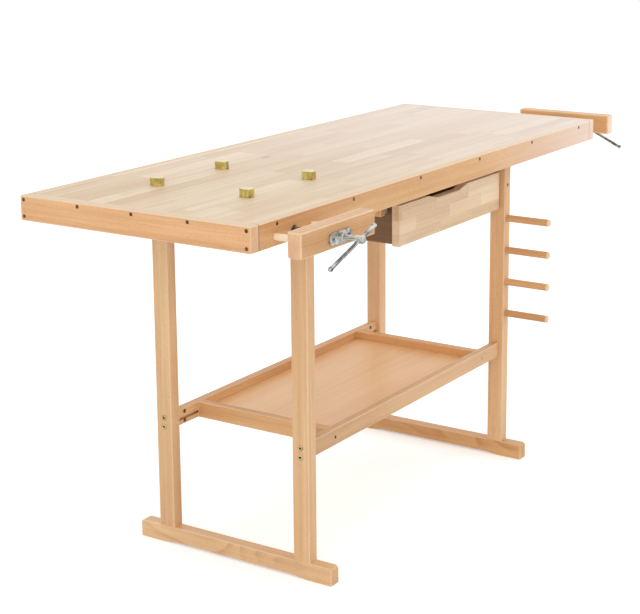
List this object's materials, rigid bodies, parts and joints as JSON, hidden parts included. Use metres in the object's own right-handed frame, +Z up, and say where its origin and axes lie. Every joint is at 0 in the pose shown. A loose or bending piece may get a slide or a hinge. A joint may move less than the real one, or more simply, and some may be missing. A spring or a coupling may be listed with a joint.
{
  "type": "workbench with vises",
  "caption": "Wooden woodworking bench with face vise, tail vise, bench dogs, tool pegs, sliding drawer and lower shelf.",
  "frame": {"origin": "on the floor under the middle of the bench's bounding box, vises open as at rest", "axes": "+X along the worktop towards the tail vise, +Y from the face vise side to the back, +Z up"},
  "size_m": [1.745, 0.753, 0.8785],
  "materials": {
    "worktop_wood": "satin",
    "frame_wood": "satin",
    "drawer_front_wood": "satin",
    "drawer_plywood": "satin",
    "light_plywood": "matte",
    "white_slide": "satin",
    "rod_wood": "satin",
    "zinc_steel": "bright",
    "dog_brass": "satin"
  },
  "bodies": {
    "bench": {"worktop_panel": "worktop_wood", "front_apron": "frame_wood", "back_apron": "frame_wood", "left_end_apron": "frame_wood", "right_end_apron": "frame_wood", "left_foot": "frame_wood", "right_foot": "frame_wood", "front_left_leg": "frame_wood", "back_left_leg": "frame_wood", "front_right_leg": "frame_wood", "back_right_leg": "frame_wood", "left_top_bearer": "frame_wood", "right_top_bearer": "frame_wood", "front_shelf_rail": "frame_wood", "back_shelf_rail": "frame_wood", "left_cross_rail": "frame_wood", "right_cross_rail": "frame_wood", "tool_pegs": "frame_wood", "left_hanger": "frame_wood", "right_hanger": "frame_wood", "front_guide_block": "frame_wood", "tail_guide_block": "frame_wood", "shelf_panel": "light_plywood", "left_slide_channel": "white_slide", "right_slide_channel": "white_slide", "front_nut": "zinc_steel", "tail_nut": "zinc_steel"},
    "drawer": {"drawer_front": "drawer_front_wood", "drawer_left_side": "drawer_plywood", "drawer_right_side": "drawer_plywood", "drawer_back": "drawer_plywood", "drawer_bottom": "light_plywood", "left_drawer_rail": "white_slide", "right_drawer_rail": "white_slide"},
    "face_vise_jaw": {"front_jaw": "frame_wood", "front_jaw_flange": "zinc_steel", "front_guide_rods": "rod_wood"},
    "face_vise_screw": {"front_spindle": "zinc_steel"},
    "face_vise_bar": {"front_tommy_bar": "zinc_steel", "front_bar_caps": "zinc_steel"},
    "tail_vise_jaw": {"tail_jaw": "frame_wood", "tail_jaw_flange": "zinc_steel", "tail_guide_rods": "rod_wood"},
    "tail_vise_screw": {"tail_spindle": "zinc_steel"},
    "tail_vise_bar": {"tail_tommy_bar": "zinc_steel", "tail_bar_caps": "zinc_steel"},
    "dog_1": {"bench_dog_1": "dog_brass"},
    "dog_2": {"bench_dog_2": "dog_brass"},
    "dog_3": {"bench_dog_3": "dog_brass"},
    "dog_4": {"bench_dog_4": "dog_brass"}
  },
  "joints": [
    {"name": "drawer_slide", "type": "slide", "parent": "bench", "child": "drawer", "axis": [0, -1, 0], "range_m": [0, 0.28]},
    {"name": "face_jaw_slide", "type": "slide", "parent": "bench", "child": "face_vise_jaw", "axis": [0, -1, 0], "range_m": [-0.0735, 0.1]},
    {"name": "face_screw_turn", "type": "hinge", "parent": "face_vise_jaw", "child": "face_vise_screw", "pos_m": [-0.728, -0.3665, 0.8265], "axis": [0, -1, 0], "range_deg": [-5298, 7206]},
    {"name": "face_bar_slide", "type": "slide", "parent": "face_vise_screw", "child": "face_vise_bar", "axis": [-0.9426, 0, -0.3338], "range_m": [-0.0983, 0.0423]},
    {"name": "tail_jaw_slide", "type": "slide", "parent": "bench", "child": "tail_vise_jaw", "axis": [1, 0, 0], "range_m": [-0.0935, 0.06]},
    {"name": "tail_screw_turn", "type": "hinge", "parent": "tail_vise_jaw", "child": "tail_vise_screw", "pos_m": [0.8625, -0.0795, 0.8265], "axis": [1, 0, 0], "range_deg": [-6738, 4326]},
    {"name": "tail_bar_slide", "type": "slide", "parent": "tail_vise_screw", "child": "tail_vise_bar", "axis": [0, -0.8988, -0.4384], "range_m": [-0.1403, 0]},
    {"name": "dog_1_lift", "type": "slide", "parent": "bench", "child": "dog_1", "axis": [0, 0, 1], "range_m": [0, 0.05]},
    {"name": "dog_2_lift", "type": "slide", "parent": "bench", "child": "dog_2", "axis": [0, 0, 1], "range_m": [0, 0.05]},
    {"name": "dog_3_lift", "type": "slide", "parent": "bench", "child": "dog_3", "axis": [0, 0, 1], "range_m": [0, 0.05]},
    {"name": "dog_4_lift", "type": "slide", "parent": "bench", "child": "dog_4", "axis": [0, 0, 1], "range_m": [0, 0.05]}
  ],
  "couplings": [
    {"joint": "face_screw_turn", "follows": "face_jaw_slide", "rad_per_m": 1256.6},
    {"joint": "tail_screw_turn", "follows": "tail_jaw_slide", "rad_per_m": 1256.6}
  ]
}
